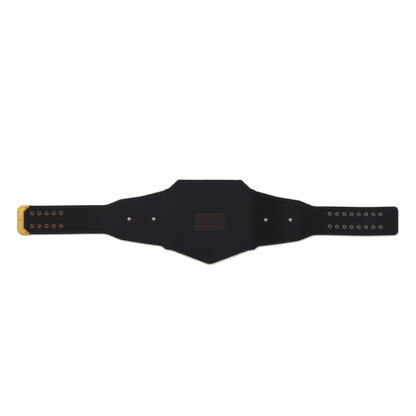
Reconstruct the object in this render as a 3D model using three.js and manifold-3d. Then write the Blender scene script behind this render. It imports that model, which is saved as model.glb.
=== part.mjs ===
// A championship title belt laid out flat, with its front on the table and its back up.
// Millimetres. +Z is up, +X runs from the metal tip to the stud end, +Y to the belt's upper edge.
import * as THREE from "three";
import { mergeVertices } from "three/addons/utils/BufferGeometryUtils.js";
import Module from "manifold-3d";

// Gap kept between pieces that touch on the real belt
const CLEARANCE = 0.3;
// How far a cutting body runs past the faces that it cuts through
const OVERCUT = 1;

// Leather
const LEATHER = 3;
const EDGE_BEVEL = 0.8;
const STRAP_WIDTH = 100;
const TIP_REACH = 664.8;
const STUD_REACH = 650.8;
const STUD_END_CORNER = 15;
const SWAY = 4.5;

// Centre panel, measured from the middle of the belt and from the strap's centre line
const PANEL_HALF = 153;
const PANEL_TOP = 139.5;
const PANEL_CORNER = 104.2;
const PANEL_POINT = 154.2;
const POINT_ROUND = 35;
const CHAMFER = 31.8;
const UPPER_LEDGE = 12.2;
const LOWER_LEDGE = 20;
const LEDGE_FALL = 2.2;
const UPPER_STEP = 6.4;
const LOWER_STEP = 11.5;
const LOWER_STEP_RUN = 14.5;
const CORNER_ROUND = 5;

// Wings, from the panel's steps to the shoulders where they narrow into the strap
const WING_REACH = 309;
const WING_OUTER = 70;
const WING_HOLLOW = 3;
const WING_CROWN = 1.3;
const WING_CURVE = 300;
const SHOULDER = 49;
const SHOULDER_ROUND = 28;

// Stamped panel on the back of the leather, left bare
const STAMP_LENGTH = 100;
const STAMP_HEIGHT = 58;
const STAMP_BAND = 13;
const STAMP_DROP = 4.8;
const STAMP_LINE = 1.6;
const STAMP_DEPTH = 0.4;

// Plates on the front
const PLATE_MARGIN = 7;
const PLATE_BEVEL = 0.6;
const MAIN_BASE = 3.5;
const MAIN_RELIEF = 2.2;
const MAIN_RIM = 9;
const MAIN_ROUNDEL = 60;
const ROUNDEL_RING = 6;
const SIDE_BASE = 2.4;
const SIDE_RELIEF = 1.6;
const SIDE_RIM = 6;
const SIDE_ROUNDEL = 36;

// Posts that key the plates into the leather, each showing as a dimple on the back
const POST_RADIUS = 3;
const POST_SKIN = 1.2;
const TOP_POST_INSET = 30;
const POINT_POST_INSET = 40;
const FLANK_POST_INSET = 24;
const FLANK_POST_DROP = 72;
const WING_POST_INSET = 10;
const WING_POST_LOW = 14;
const WING_POST_HIGH = 23;
const DIMPLE_RADIUS = 4;
const DIMPLE_DEPTH = 0.5;

// Domed screws through the wings into the side plates
const SCREW_HEAD = 6.3;
const SCREW_DOME = 3.4;
const SCREW_SHANK = 2;
const SCREW_INNER_INSET = 22;
const SCREW_OUTER_INSET = 24;
const PLATE_SKIN = 0.8;

// Snaps and screws lie a little above the strap's centre line
const MIDDLE_LIFT = 1.2;

// Snaps
const SNAP_PITCH = 25;
const ROW_SPACING = 44;
const SOCKETS_PER_ROW = 5;
const STUDS_PER_ROW = 8;
const SOCKET_SETBACK = 29;
const STUD_SETBACK = 62;
const FIELD_BORDER = 14;
const SNAP_SHANK = 2.9;
const SNAP_CAP = 7.5;
const SNAP_DOME = 3;
const SOCKET_RADIUS = 7.3;
const SOCKET_HEIGHT = 2.8;
const SOCKET_BORE = 2.1;
const RING_RADIUS = 6.9;
const RING_HEIGHT = 1.2;
const RING_BORE = 2.2;
const STUD_RADIUS = 3.6;
const STUD_HEIGHT = 4;
const STUD_BASE = 6;

// Metal tip cap
const CAP_WALL = 1.4;
const CAP_BAND = 23.3;
const CAP_EAR = 46;
const CAP_THROAT = 28.5;
const CAP_CORNER = 22;
const CAP_BEVEL = 0.9;
const RIVET_HEAD = 2.7;
const RIVET_HEIGHT = 0.8;
const RIVET_SHANK = 1.4;
const BAND_RIVET_INSET = 12.6;
const EAR_RIVET_INSET = 30;
const EAR_RIVET_EDGE = 7.6;

// Facets
const ROUND_SIDES = 10;
const ROUNDEL_SIDES = 20;
const FOLD_STEPS = 4;
const CORNER_STEPS = 4;
const STATION_GAP = 2;
const FACET_TURN = 0.35;

const STRAP_HALF = STRAP_WIDTH / 2;
const LEATHER_TIP = TIP_REACH - CAP_WALL - CLEARANCE;
const LEATHER_TIP_CORNER = CAP_CORNER - CAP_WALL - CLEARANCE;
const POST_LENGTH = LEATHER - POST_SKIN;

// Height of the leather's front face over each thing that carries it
const tipRise = CLEARANCE + Math.max(SNAP_DOME, CAP_WALL + CLEARANCE + RIVET_HEIGHT);
const studRise = CLEARANCE + STUD_HEIGHT;
const wingRise = CLEARANCE + SIDE_BASE + SIDE_RELIEF;
const mainRise = CLEARANCE + MAIN_BASE + MAIN_RELIEF;

const firstSocket = -TIP_REACH + CAP_BAND + SOCKET_SETBACK;
const lastSocket = firstSocket + (SOCKETS_PER_ROW - 1) * SNAP_PITCH;
const lastStud = STUD_REACH - STUD_SETBACK;
const firstStud = lastStud - (STUDS_PER_ROW - 1) * SNAP_PITCH;
const mainSide = PANEL_HALF - UPPER_LEDGE;
const sidePlateInner = PANEL_HALF + LOWER_STEP_RUN + PLATE_MARGIN / 2;
const sidePlateOuter = WING_REACH - PLATE_MARGIN;
const sidePlateMiddle = (sidePlateInner + sidePlateOuter) / 2;

const materials = {
  leather: new THREE.MeshStandardMaterial({ color: 0x222125, roughness: 0.62, metalness: 0 }),
  gold: new THREE.MeshStandardMaterial({ color: 0xd8ad57, roughness: 0.38, metalness: 1 }),
  brass: new THREE.MeshStandardMaterial({ color: 0x96785a, roughness: 0.4, metalness: 1 }),
  silver: new THREE.MeshStandardMaterial({ color: 0x9c979a, roughness: 0.3, metalness: 1 }),
  bronze: new THREE.MeshStandardMaterial({ color: 0x7a5528, roughness: 0.45, metalness: 1 }),
};

const wasm = await Module();
wasm.setup();

// A closed three.js geometry as a solid that can be joined and cut
function solid(geometry) {
  const bare = geometry.clone();
  bare.deleteAttribute("normal");
  bare.deleteAttribute("uv");
  const merged = mergeVertices(bare, 1e-4);
  const corners = merged.index.array;
  const kept = [];
  for (let i = 0; i < corners.length; i += 3) {
    const [a, b, c] = corners.slice(i, i + 3);
    if (a !== b && b !== c && c !== a) kept.push(a, b, c);
  }
  const vertProperties = merged.attributes.position.array;
  const triVerts = new Uint32Array(kept);
  return new wasm.Manifold(new wasm.Mesh({ numProp: 3, vertProperties, triVerts }));
}

function geometryOf(body) {
  const mesh = body.getMesh();
  const geometry = new THREE.BufferGeometry();
  geometry.setAttribute("position", new THREE.BufferAttribute(mesh.vertProperties, 3));
  geometry.setIndex(new THREE.BufferAttribute(mesh.triVerts, 1));
  return geometry;
}

function piece(name, body, material) {
  const mesh = new THREE.Mesh(geometryOf(body), material.clone());
  mesh.name = name;
  return mesh;
}

// Folds: rows of { at, value }, joined by curves that are level at each row
function foldAt(rows, x) {
  const first = rows[0];
  const last = rows[rows.length - 1];
  if (x <= first.at) return first.value;
  if (x >= last.at) return last.value;
  const next = rows.findIndex((row) => row.at >= x);
  const from = rows[next - 1];
  const share = THREE.MathUtils.smoothstep(x, from.at, rows[next].at);
  return THREE.MathUtils.lerp(from.value, rows[next].value, share);
}

// How far the belt bows sideways where it lies
const swayRows = [
  { at: -LEATHER_TIP + 1.2 * CAP_EAR, value: 0.03 * SWAY },
  { at: -0.58 * TIP_REACH, value: 0.47 * SWAY },
  { at: 0, value: 0 },
  { at: 0.59 * STUD_REACH, value: -0.47 * SWAY },
  { at: 0.83 * STUD_REACH, value: -SWAY },
  { at: STUD_REACH, value: -0.62 * SWAY },
];

// How high the leather's front face lies over plates, snaps and the table
const riseRows = [
  { at: lastSocket + FIELD_BORDER, value: tipRise },
  { at: (lastSocket + FIELD_BORDER - WING_REACH) / 2, value: 0.45 * tipRise },
  { at: -WING_REACH, value: wingRise },
  { at: -sidePlateInner, value: wingRise },
  { at: -PANEL_HALF, value: 0.85 * wingRise },
  { at: -mainSide, value: mainRise },
  { at: mainSide, value: mainRise },
  { at: PANEL_HALF, value: 0.85 * wingRise },
  { at: sidePlateInner, value: wingRise },
  { at: WING_REACH, value: wingRise },
  { at: (WING_REACH + firstStud - FIELD_BORDER) / 2, value: 0.7 * studRise },
  { at: firstStud - FIELD_BORDER, value: studRise },
  { at: lastStud + FIELD_BORDER, value: studRise },
  { at: STUD_REACH, value: 0.75 * studRise },
];

const swayAt = (x) => foldAt(swayRows, x);
const riseAt = (x) => foldAt(riseRows, x);

// A line through corners { along, out, round }, with each corner rounded as far as its sides allow
function roundedLine(corners) {
  const points = [];
  corners.forEach((corner, i) => {
    const here = new THREE.Vector2(corner.along, corner.out);
    if (i === 0 || i === corners.length - 1 || !corner.round) {
      points.push(here);
      return;
    }
    const before = new THREE.Vector2(corners[i - 1].along, corners[i - 1].out).sub(here);
    const after = new THREE.Vector2(corners[i + 1].along, corners[i + 1].out).sub(here);
    const turn = Math.PI - Math.acos(before.dot(after) / before.length() / after.length());
    const room = 0.45 * Math.min(before.length(), after.length());
    const reach = Math.min(corner.round * Math.tan(turn / 2), room);
    const start = here.clone().addScaledVector(before.normalize(), reach);
    const end = here.clone().addScaledVector(after.normalize(), reach);
    const curve = new THREE.QuadraticBezierCurve(start, here, end);
    const steps = Math.max(2, Math.ceil(turn / FACET_TURN));
    points.push(...curve.getPoints(steps));
  });
  return points;
}

// Upper edge of the leather from the middle of the belt outwards
const upperFoot = PANEL_TOP - CHAMFER;
const upperInner = upperFoot - LEDGE_FALL - UPPER_STEP;
const upperEdge = roundedLine([
  { along: 0, out: PANEL_TOP },
  { along: mainSide - CHAMFER, out: PANEL_TOP, round: CORNER_ROUND },
  { along: mainSide, out: upperFoot, round: CORNER_ROUND },
  { along: PANEL_HALF, out: upperFoot - LEDGE_FALL, round: CORNER_ROUND },
  { along: PANEL_HALF + UPPER_STEP, out: upperInner, round: CORNER_ROUND },
  {
    along: (PANEL_HALF + UPPER_STEP + WING_REACH) / 2,
    out: (upperInner + WING_OUTER) / 2 - WING_HOLLOW,
    round: WING_CURVE,
  },
  { along: WING_REACH, out: WING_OUTER, round: SHOULDER_ROUND },
  { along: WING_REACH + SHOULDER, out: STRAP_HALF, round: 2 * SHOULDER_ROUND },
  { along: WING_REACH + 2 * SHOULDER, out: STRAP_HALF },
]);

// Lower edge, from the rounded point outwards, measured downwards
const lowerInner = PANEL_CORNER - LEDGE_FALL - LOWER_STEP;
const lowerEdge = roundedLine([
  { along: LOWER_LEDGE - PANEL_HALF, out: PANEL_CORNER },
  { along: 0, out: PANEL_POINT, round: POINT_ROUND },
  { along: PANEL_HALF - LOWER_LEDGE, out: PANEL_CORNER, round: CORNER_ROUND },
  { along: PANEL_HALF, out: PANEL_CORNER - LEDGE_FALL, round: CORNER_ROUND },
  { along: PANEL_HALF + LOWER_STEP_RUN, out: lowerInner, round: CORNER_ROUND },
  {
    along: (PANEL_HALF + LOWER_STEP_RUN + WING_REACH) / 2,
    out: (lowerInner + WING_OUTER) / 2 + WING_CROWN,
    round: WING_CURVE,
  },
  { along: WING_REACH, out: WING_OUTER, round: SHOULDER_ROUND },
  { along: WING_REACH + SHOULDER, out: STRAP_HALF, round: 2 * SHOULDER_ROUND },
  { along: WING_REACH + 2 * SHOULDER, out: STRAP_HALF },
]).filter((point) => point.x > -1e-6);

// Distance of an edge from the strap's centre line at a place along it
function outAt(edge, along) {
  const next = edge.findIndex((point) => point.x >= along);
  if (next < 0) return edge[edge.length - 1].y;
  if (next === 0) return edge[0].y;
  const from = edge[next - 1];
  const to = edge[next];
  return THREE.MathUtils.mapLinear(along, from.x, to.x, from.y, to.y);
}

// How much a rounded end corner takes off the strap's half width, at a distance from that end
function cornerCut(fromEnd, round) {
  if (fromEnd >= round) return 0;
  return round - Math.sqrt(round * round - (round - fromEnd) ** 2);
}

// Places along the belt where the leather gets a cross-section
function stations() {
  const places = [];
  [...upperEdge, ...lowerEdge].forEach((point) => places.push(-point.x, point.x));
  for (const rows of [swayRows, riseRows]) {
    rows.slice(1).forEach((row, i) => {
      const steps = row.value === rows[i].value ? 1 : FOLD_STEPS;
      for (let step = 0; step <= steps; step++) {
        places.push(THREE.MathUtils.lerp(rows[i].at, row.at, step / steps));
      }
    });
  }
  for (let step = 0; step <= CORNER_STEPS; step++) {
    const share = 1 - Math.cos(((step / CORNER_STEPS) * Math.PI) / 2);
    places.push(-LEATHER_TIP + share * LEATHER_TIP_CORNER);
    places.push(STUD_REACH - share * STUD_END_CORNER);
  }
  const inside = places.filter((x) => x > -LEATHER_TIP && x < STUD_REACH - STATION_GAP);
  const spaced = [-LEATHER_TIP];
  for (const x of inside.sort((a, b) => a - b)) {
    if (x - spaced[spaced.length - 1] > STATION_GAP) spaced.push(x);
  }
  return [...spaced, STUD_REACH];
}

// The leather: bevelled cross-sections joined along the belt
function leatherBlank() {
  const vertices = [];
  const faces = [];
  const places = stations();
  const corners = 8;
  for (const x of places) {
    const cut =
      cornerCut(x + LEATHER_TIP, LEATHER_TIP_CORNER) + cornerCut(STUD_REACH - x, STUD_END_CORNER);
    const top = outAt(upperEdge, Math.abs(x)) - cut + swayAt(x);
    const bottom = -outAt(lowerEdge, Math.abs(x)) + cut + swayAt(x);
    const front = riseAt(x);
    const back = front + LEATHER;
    const bevel = EDGE_BEVEL;
    vertices.push(x, bottom + bevel, front, x, top - bevel, front);
    vertices.push(x, top, front + bevel, x, top, back - bevel);
    vertices.push(x, top - bevel, back, x, bottom + bevel, back);
    vertices.push(x, bottom, back - bevel, x, bottom, front + bevel);
  }
  for (let i = 0; i < places.length - 1; i++) {
    for (let k = 0; k < corners; k++) {
      const here = i * corners + k;
      const beside = i * corners + ((k + 1) % corners);
      faces.push(here, beside, beside + corners);
      faces.push(here, beside + corners, here + corners);
    }
  }
  const last = (places.length - 1) * corners;
  for (let k = 1; k < corners - 1; k++) {
    faces.push(0, k + 1, k);
    faces.push(last, last + k, last + k + 1);
  }
  const geometry = new THREE.BufferGeometry();
  geometry.setAttribute("position", new THREE.Float32BufferAttribute(vertices, 3));
  geometry.setIndex(faces);
  return solid(geometry);
}

// A turned body: profile of [radius, height] from the axis below to the axis above
function turned(profile) {
  const points = profile.map(([radius, height]) => new THREE.Vector2(radius, height));
  return solid(new THREE.LatheGeometry(points, ROUND_SIDES).rotateX(Math.PI / 2));
}

function cylinder(radius, low, high) {
  return turned([[0, low], [radius, low], [radius, high], [0, high]]);
}

// An outline of Vector2 points made solid between two heights, with bevelled rims if asked
function slab(outline, low, high, bevel = 0) {
  const settings = { depth: high - low - 2 * bevel, bevelEnabled: bevel > 0 };
  const rim = { bevelThickness: bevel, bevelSize: bevel, bevelOffset: -bevel, bevelSegments: 1 };
  const geometry = new THREE.ExtrudeGeometry(new THREE.Shape(outline), { ...settings, ...rim });
  return solid(geometry.translate(0, 0, low + bevel));
}

// An outline moved inwards by a distance, corner by corner; the outline runs anticlockwise
function inset(outline, distance) {
  const count = outline.length;
  return outline.map((point, i) => {
    const into = point.clone().sub(outline[(i + count - 1) % count]).normalize();
    const onward = outline[(i + 1) % count].clone().sub(point).normalize();
    const inward = new THREE.Vector2(-into.y - onward.y, into.x + onward.x).normalize();
    const half = Math.sqrt((1 + into.dot(onward)) / 2);
    return point.clone().addScaledVector(inward, distance / half);
  });
}

// A rectangle across the middle of the belt, y being the height of its own middle
function rectangle(length, height, y) {
  const [halfLength, halfHeight] = [length / 2, height / 2];
  return [
    new THREE.Vector2(-halfLength, y - halfHeight),
    new THREE.Vector2(halfLength, y - halfHeight),
    new THREE.Vector2(halfLength, y + halfHeight),
    new THREE.Vector2(-halfLength, y + halfHeight),
  ];
}

function circle(radius) {
  return Array.from({ length: ROUNDEL_SIDES }, (_, i) => {
    const angle = (2 * Math.PI * i) / ROUNDEL_SIDES;
    return new THREE.Vector2(radius * Math.cos(angle), radius * Math.sin(angle));
  });
}

function joined(bodies) {
  return bodies.reduce((whole, body) => whole.add(body));
}

// Outline of the main plate, a margin inside the leather's centre panel
function mainOutline() {
  const fall = (PANEL_POINT - PANEL_CORNER) / (PANEL_HALF - LOWER_LEDGE);
  const sideFoot = -(PANEL_POINT - fall * mainSide);
  const half = [
    new THREE.Vector2(mainSide, sideFoot),
    new THREE.Vector2(mainSide, upperFoot),
    new THREE.Vector2(mainSide - CHAMFER, PANEL_TOP),
  ];
  const mirrored = half.map((point) => new THREE.Vector2(-point.x, point.y)).reverse();
  return inset([new THREE.Vector2(0, -PANEL_POINT), ...half, ...mirrored], PLATE_MARGIN);
}

// Outline of a side plate about its own middle, widest towards the centre panel
function sideOutline() {
  const reach = [sidePlateInner, sidePlateOuter].map((along) => ({
    along: along - sidePlateMiddle,
    up: outAt(upperEdge, along) - PLATE_MARGIN,
    down: outAt(lowerEdge, along) - PLATE_MARGIN,
  }));
  const [inner, outer] = reach;
  return [
    new THREE.Vector2(inner.along, -inner.down),
    new THREE.Vector2(outer.along, -outer.down),
    new THREE.Vector2(outer.along, outer.up),
    new THREE.Vector2(inner.along, inner.up),
  ];
}

// A cast plate whose back is at height 0: a base, a raised rim and a raised blank roundel
function castPlate(outline, base, relief, rim, roundel) {
  const face = -base - relief;
  const overlap = base / 2;
  const rimBody = slab(outline, face, -overlap, PLATE_BEVEL).subtract(
    slab(inset(outline, rim), face - OVERCUT, OVERCUT),
  );
  const ring = slab(circle(roundel), face, -overlap).subtract(
    slab(circle(roundel - ROUNDEL_RING), face - OVERCUT, OVERCUT),
  );
  const disc = slab(circle(roundel - ROUNDEL_RING / 2), face + relief / 2, -overlap);
  const floor = slab(inset(outline, PLATE_BEVEL), -base, 0);
  return joined([floor, rimBody, ring, disc]);
}

// Places of the posts on the main plate, from the middle of the belt
function mainPosts() {
  const outline = mainOutline();
  const side = mainSide - PLATE_MARGIN - FLANK_POST_INSET;
  return [
    new THREE.Vector2(0, PANEL_TOP - PLATE_MARGIN - TOP_POST_INSET),
    new THREE.Vector2(0, outline[0].y + POINT_POST_INSET),
    new THREE.Vector2(-side, -FLANK_POST_DROP),
    new THREE.Vector2(side, -FLANK_POST_DROP),
  ];
}

// Places of the posts on a side plate, about its middle
function sidePosts() {
  const [, lowOuter, highOuter] = sideOutline();
  const along = lowOuter.x - WING_POST_INSET;
  return [
    new THREE.Vector2(along, lowOuter.y + WING_POST_LOW),
    new THREE.Vector2(along, highOuter.y - WING_POST_HIGH),
  ];
}

// A post about the plate's back face, rooted in the plate
function post(place) {
  return cylinder(POST_RADIUS, -SIDE_BASE / 2, POST_LENGTH).translate(place.x, place.y, 0);
}

function mainPlate() {
  const plate = castPlate(mainOutline(), MAIN_BASE, MAIN_RELIEF, MAIN_RIM, MAIN_ROUNDEL);
  return joined([plate, ...mainPosts().map(post)]);
}

const screwPlaces = [sidePlateInner + SCREW_INNER_INSET, sidePlateOuter - SCREW_OUTER_INSET];
const screwSeat = SIDE_BASE - PLATE_SKIN;

// The side plate of the stud side; the tip side has its mirror image
function sidePlate() {
  const plate = castPlate(sideOutline(), SIDE_BASE, SIDE_RELIEF, SIDE_RIM, SIDE_ROUNDEL);
  const whole = joined([plate, ...sidePosts().map(post)]);
  const bore = cylinder(SCREW_SHANK + CLEARANCE, -screwSeat, OVERCUT);
  return screwPlaces.reduce(
    (body, along) => body.subtract(bore.translate(along - sidePlateMiddle, MIDDLE_LIFT, 0)),
    whole,
  );
}

// Screw about the leather's front face: a dome on the back and a shank into the side plate
function plateScrew() {
  const seat = LEATHER + CLEARANCE;
  return turned([
    [0, -screwSeat],
    [SCREW_SHANK, -screwSeat],
    [SCREW_SHANK, seat],
    [SCREW_HEAD, seat],
    [SCREW_HEAD, seat + 0.2 * SCREW_DOME],
    [0.86 * SCREW_HEAD, seat + 0.6 * SCREW_DOME],
    [0.55 * SCREW_HEAD, seat + 0.9 * SCREW_DOME],
    [0, seat + SCREW_DOME],
  ]);
}

// Snap about the leather's front face: domed cap in front, socket with a flat rim behind
function socketSnap() {
  const low = -CLEARANCE;
  const seat = LEATHER + CLEARANCE;
  return turned([
    [0, low - SNAP_DOME],
    [0.6 * SNAP_CAP, low - 0.88 * SNAP_DOME],
    [SNAP_CAP, low - 0.3 * SNAP_DOME],
    [SNAP_CAP, low],
    [SNAP_SHANK, low],
    [SNAP_SHANK, seat],
    [SOCKET_RADIUS, seat],
    [SOCKET_RADIUS, seat + 0.3 * SOCKET_HEIGHT],
    [0.82 * SOCKET_RADIUS, seat + SOCKET_HEIGHT],
    [0.62 * SOCKET_RADIUS, seat + SOCKET_HEIGHT],
    [SOCKET_BORE, seat + 0.3 * SOCKET_HEIGHT],
    [SOCKET_BORE, seat - LEATHER / 2],
    [0, seat - LEATHER / 2],
  ]);
}

// Snap about the leather's front face: stud in front, rolled ring behind
function studSnap() {
  const low = -CLEARANCE;
  const seat = LEATHER + CLEARANCE;
  return turned([
    [0, low - STUD_HEIGHT],
    [0.85 * STUD_RADIUS, low - STUD_HEIGHT],
    [STUD_RADIUS, low - 0.75 * STUD_HEIGHT],
    [0.8 * STUD_RADIUS, low - 0.3 * STUD_HEIGHT],
    [STUD_BASE, low],
    [SNAP_SHANK, low],
    [SNAP_SHANK, seat],
    [RING_RADIUS, seat],
    [0.9 * RING_RADIUS, seat + 0.6 * RING_HEIGHT],
    [0.6 * RING_RADIUS, seat + RING_HEIGHT],
    [RING_BORE, seat + 0.5 * RING_HEIGHT],
    [RING_BORE, seat - LEATHER / 2],
    [0, seat - LEATHER / 2],
  ]);
}

// Rivet about the leather's front face, headed over both walls of the cap
function tipRivet() {
  const low = -CLEARANCE - CAP_WALL - CLEARANCE;
  const seat = LEATHER - low;
  return turned([
    [0, low - RIVET_HEIGHT],
    [0.7 * RIVET_HEAD, low - RIVET_HEIGHT],
    [RIVET_HEAD, low],
    [RIVET_SHANK, low],
    [RIVET_SHANK, seat],
    [RIVET_HEAD, seat],
    [0.7 * RIVET_HEAD, seat + RIVET_HEIGHT],
    [0, seat + RIVET_HEIGHT],
  ]);
}

const rivetPlaces = [
  new THREE.Vector2(-TIP_REACH + BAND_RIVET_INSET, 0),
  new THREE.Vector2(-TIP_REACH + EAR_RIVET_INSET, STRAP_HALF - EAR_RIVET_EDGE),
  new THREE.Vector2(-TIP_REACH + EAR_RIVET_INSET, EAR_RIVET_EDGE - STRAP_HALF),
];

// End outline of a strip with two rounded corners, closed off at a place along the belt
function roundedEnd(reach, half, corner, until) {
  const points = [new THREE.Vector2(until, half)];
  for (let step = 0; step <= CORNER_STEPS; step++) {
    const angle = Math.PI / 2 + (step / CORNER_STEPS) * (Math.PI / 2);
    points.push(
      new THREE.Vector2(
        -reach + corner + corner * Math.cos(angle),
        half - corner + corner * Math.sin(angle),
      ),
    );
  }
  const lower = points.map((point) => new THREE.Vector2(point.x, -point.y)).reverse();
  return [...points, ...lower];
}

// Cap about the leather's front face: two walls with ears, joined round the end of the strap
function tipCap() {
  const low = -CLEARANCE - CAP_WALL;
  const high = LEATHER - low;
  const half = STRAP_HALF + CLEARANCE + CAP_WALL;
  const outline = [
    ...roundedEnd(TIP_REACH, half, CAP_CORNER, CAP_EAR - TIP_REACH),
    new THREE.Vector2(CAP_BAND - TIP_REACH, -CAP_THROAT),
    new THREE.Vector2(CAP_BAND - TIP_REACH, CAP_THROAT),
  ];
  const pocket = roundedEnd(
    TIP_REACH - CAP_WALL,
    half - CAP_WALL,
    CAP_CORNER - CAP_WALL,
    2 * CAP_EAR - TIP_REACH,
  );
  const shell = slab(outline, low, high, CAP_BEVEL);
  const hollow = slab(pocket, -CLEARANCE, LEATHER + CLEARANCE);
  const bore = cylinder(RIVET_SHANK + CLEARANCE, low - OVERCUT, high + OVERCUT);
  return rivetPlaces.reduce(
    (body, place) => body.subtract(bore.translate(place.x, place.y, 0)),
    shell.subtract(hollow),
  );
}

// Both rows of a snap field, each place with the sideways bow of the strap there
function snapPlaces(first, count) {
  const places = [];
  for (const side of [1, -1]) {
    for (let i = 0; i < count; i++) {
      const x = first + i * SNAP_PITCH;
      places.push(new THREE.Vector2(x, MIDDLE_LIFT + (side * ROW_SPACING) / 2 + swayAt(x)));
    }
  }
  return places;
}

const socketPlaces = snapPlaces(firstSocket, SOCKETS_PER_ROW);
const studPlaces = snapPlaces(firstStud, STUDS_PER_ROW);
const tipSway = swayAt(-TIP_REACH);

// Screws and posts of the side plate on one side of the belt, side being 1 or -1
function wingPlaces(side) {
  const sway = swayAt(side * sidePlateMiddle);
  return {
    screws: screwPlaces.map((along) => new THREE.Vector2(side * along, MIDDLE_LIFT + sway)),
    posts: sidePosts().map(
      (place) => new THREE.Vector2(side * (sidePlateMiddle + place.x), place.y + sway),
    ),
  };
}

// Grooves of the stamped panel: a frame and the line of its lower band
function stampGrooves() {
  const high = mainRise + LEATHER + OVERCUT;
  const low = mainRise + LEATHER - STAMP_DEPTH;
  const frame = rectangle(STAMP_LENGTH, STAMP_HEIGHT, -STAMP_DROP);
  const field = slab(inset(frame, STAMP_LINE), low - OVERCUT, high + OVERCUT);
  const bandLine = STAMP_BAND - STAMP_HEIGHT / 2 - STAMP_DROP;
  const line = rectangle(STAMP_LENGTH - STAMP_LINE, STAMP_LINE, bandLine);
  return slab(frame, low, high).subtract(field).add(slab(line, low, high));
}

function strap() {
  const through = (radius, places) =>
    places.map((place) => {
      const low = riseAt(place.x) - OVERCUT;
      const high = low + LEATHER + 2 * OVERCUT;
      return cylinder(radius + CLEARANCE, low, high).translate(place.x, place.y, 0);
    });
  const wings = [wingPlaces(-1), wingPlaces(1)];
  const posts = [...mainPosts(), ...wings.flatMap((wing) => wing.posts)];
  const keyholes = posts.map((place) => {
    const front = riseAt(place.x);
    const high = front + POST_LENGTH + CLEARANCE / 2;
    const hole = cylinder(POST_RADIUS + CLEARANCE, front - OVERCUT, high);
    return hole.translate(place.x, place.y, 0);
  });
  const dimple = turned([
    [0, -DIMPLE_DEPTH],
    [DIMPLE_RADIUS, 0],
    [DIMPLE_RADIUS, OVERCUT],
    [0, OVERCUT],
  ]);
  const dimples = posts.map((place) =>
    dimple.translate(place.x, place.y, riseAt(place.x) + LEATHER),
  );
  const rivets = rivetPlaces.map((place) => new THREE.Vector2(place.x, place.y + tipSway));
  const cuts = [
    ...through(SNAP_SHANK, [...socketPlaces, ...studPlaces]),
    ...through(SCREW_SHANK, wings.flatMap((wing) => wing.screws)),
    ...through(RIVET_SHANK, rivets),
    ...keyholes,
    ...dimples,
    stampGrooves(),
  ];
  return cuts.reduce((body, cut) => body.subtract(cut), leatherBlank());
}

// Copies of one body, each a mesh of its own with a numbered name
function copies(group, name, body, material, places, height) {
  places.forEach((place, i) => {
    const mesh = piece(`${name}_${i + 1}`, body, material);
    mesh.position.set(place.x, place.y, height);
    group.add(mesh);
  });
}

function assemble() {
  const belt = new THREE.Group();
  belt.add(piece("strap", strap(), materials.leather));

  const tip = new THREE.Group();
  tip.position.set(0, tipSway, tipRise);
  tip.add(piece("tip_cap", tipCap(), materials.gold));
  copies(tip, "tip_rivet", tipRivet(), materials.bronze, rivetPlaces, 0);
  belt.add(tip);

  copies(belt, "socket_snap", socketSnap(), materials.brass, socketPlaces, tipRise);
  copies(belt, "stud_snap", studSnap(), materials.silver, studPlaces, studRise);

  const main = piece("main_plate", mainPlate(), materials.gold);
  main.position.z = mainRise - CLEARANCE;
  belt.add(main);

  const sideBody = sidePlate();
  for (const [name, side] of [["tip_side", -1], ["stud_side", 1]]) {
    const body = side < 0 ? sideBody.mirror([1, 0, 0]) : sideBody;
    const plate = piece(`side_plate_${name}`, body, materials.gold);
    const sway = swayAt(side * sidePlateMiddle);
    plate.position.set(side * sidePlateMiddle, sway, wingRise - CLEARANCE);
    belt.add(plate);
    const screws = wingPlaces(side).screws;
    copies(belt, `plate_screw_${name}`, plateScrew(), materials.silver, screws, wingRise);
  }

  // The origin is under the middle of the belt's outer size
  const box = new THREE.Box3().setFromObject(belt, true);
  const middle = box.getCenter(new THREE.Vector3());
  belt.position.set(-middle.x, -middle.y, -box.min.z);
  const whole = new THREE.Group();
  whole.add(belt);
  return whole;
}

export default assemble();
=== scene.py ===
import math

import bpy
import numpy as np
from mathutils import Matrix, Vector, geometry


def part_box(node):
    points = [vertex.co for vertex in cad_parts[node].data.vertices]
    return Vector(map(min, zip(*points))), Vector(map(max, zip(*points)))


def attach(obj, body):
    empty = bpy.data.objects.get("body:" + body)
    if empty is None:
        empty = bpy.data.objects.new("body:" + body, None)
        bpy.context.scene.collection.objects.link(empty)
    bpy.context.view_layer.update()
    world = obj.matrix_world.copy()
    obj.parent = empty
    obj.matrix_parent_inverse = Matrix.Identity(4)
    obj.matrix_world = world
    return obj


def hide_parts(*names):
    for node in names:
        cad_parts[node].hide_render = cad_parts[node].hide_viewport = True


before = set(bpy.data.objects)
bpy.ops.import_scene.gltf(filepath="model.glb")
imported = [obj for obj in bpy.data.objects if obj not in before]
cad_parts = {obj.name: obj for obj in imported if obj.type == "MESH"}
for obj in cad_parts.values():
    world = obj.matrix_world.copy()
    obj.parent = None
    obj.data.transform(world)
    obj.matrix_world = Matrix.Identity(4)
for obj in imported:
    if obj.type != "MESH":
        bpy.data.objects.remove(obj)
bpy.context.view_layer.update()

# A championship title belt laid out flat, its front on the table and its back to the camera.
# Metres. +X runs from the metal tip to the stud end, +Y to the belt's upper edge, +Z up.

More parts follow.
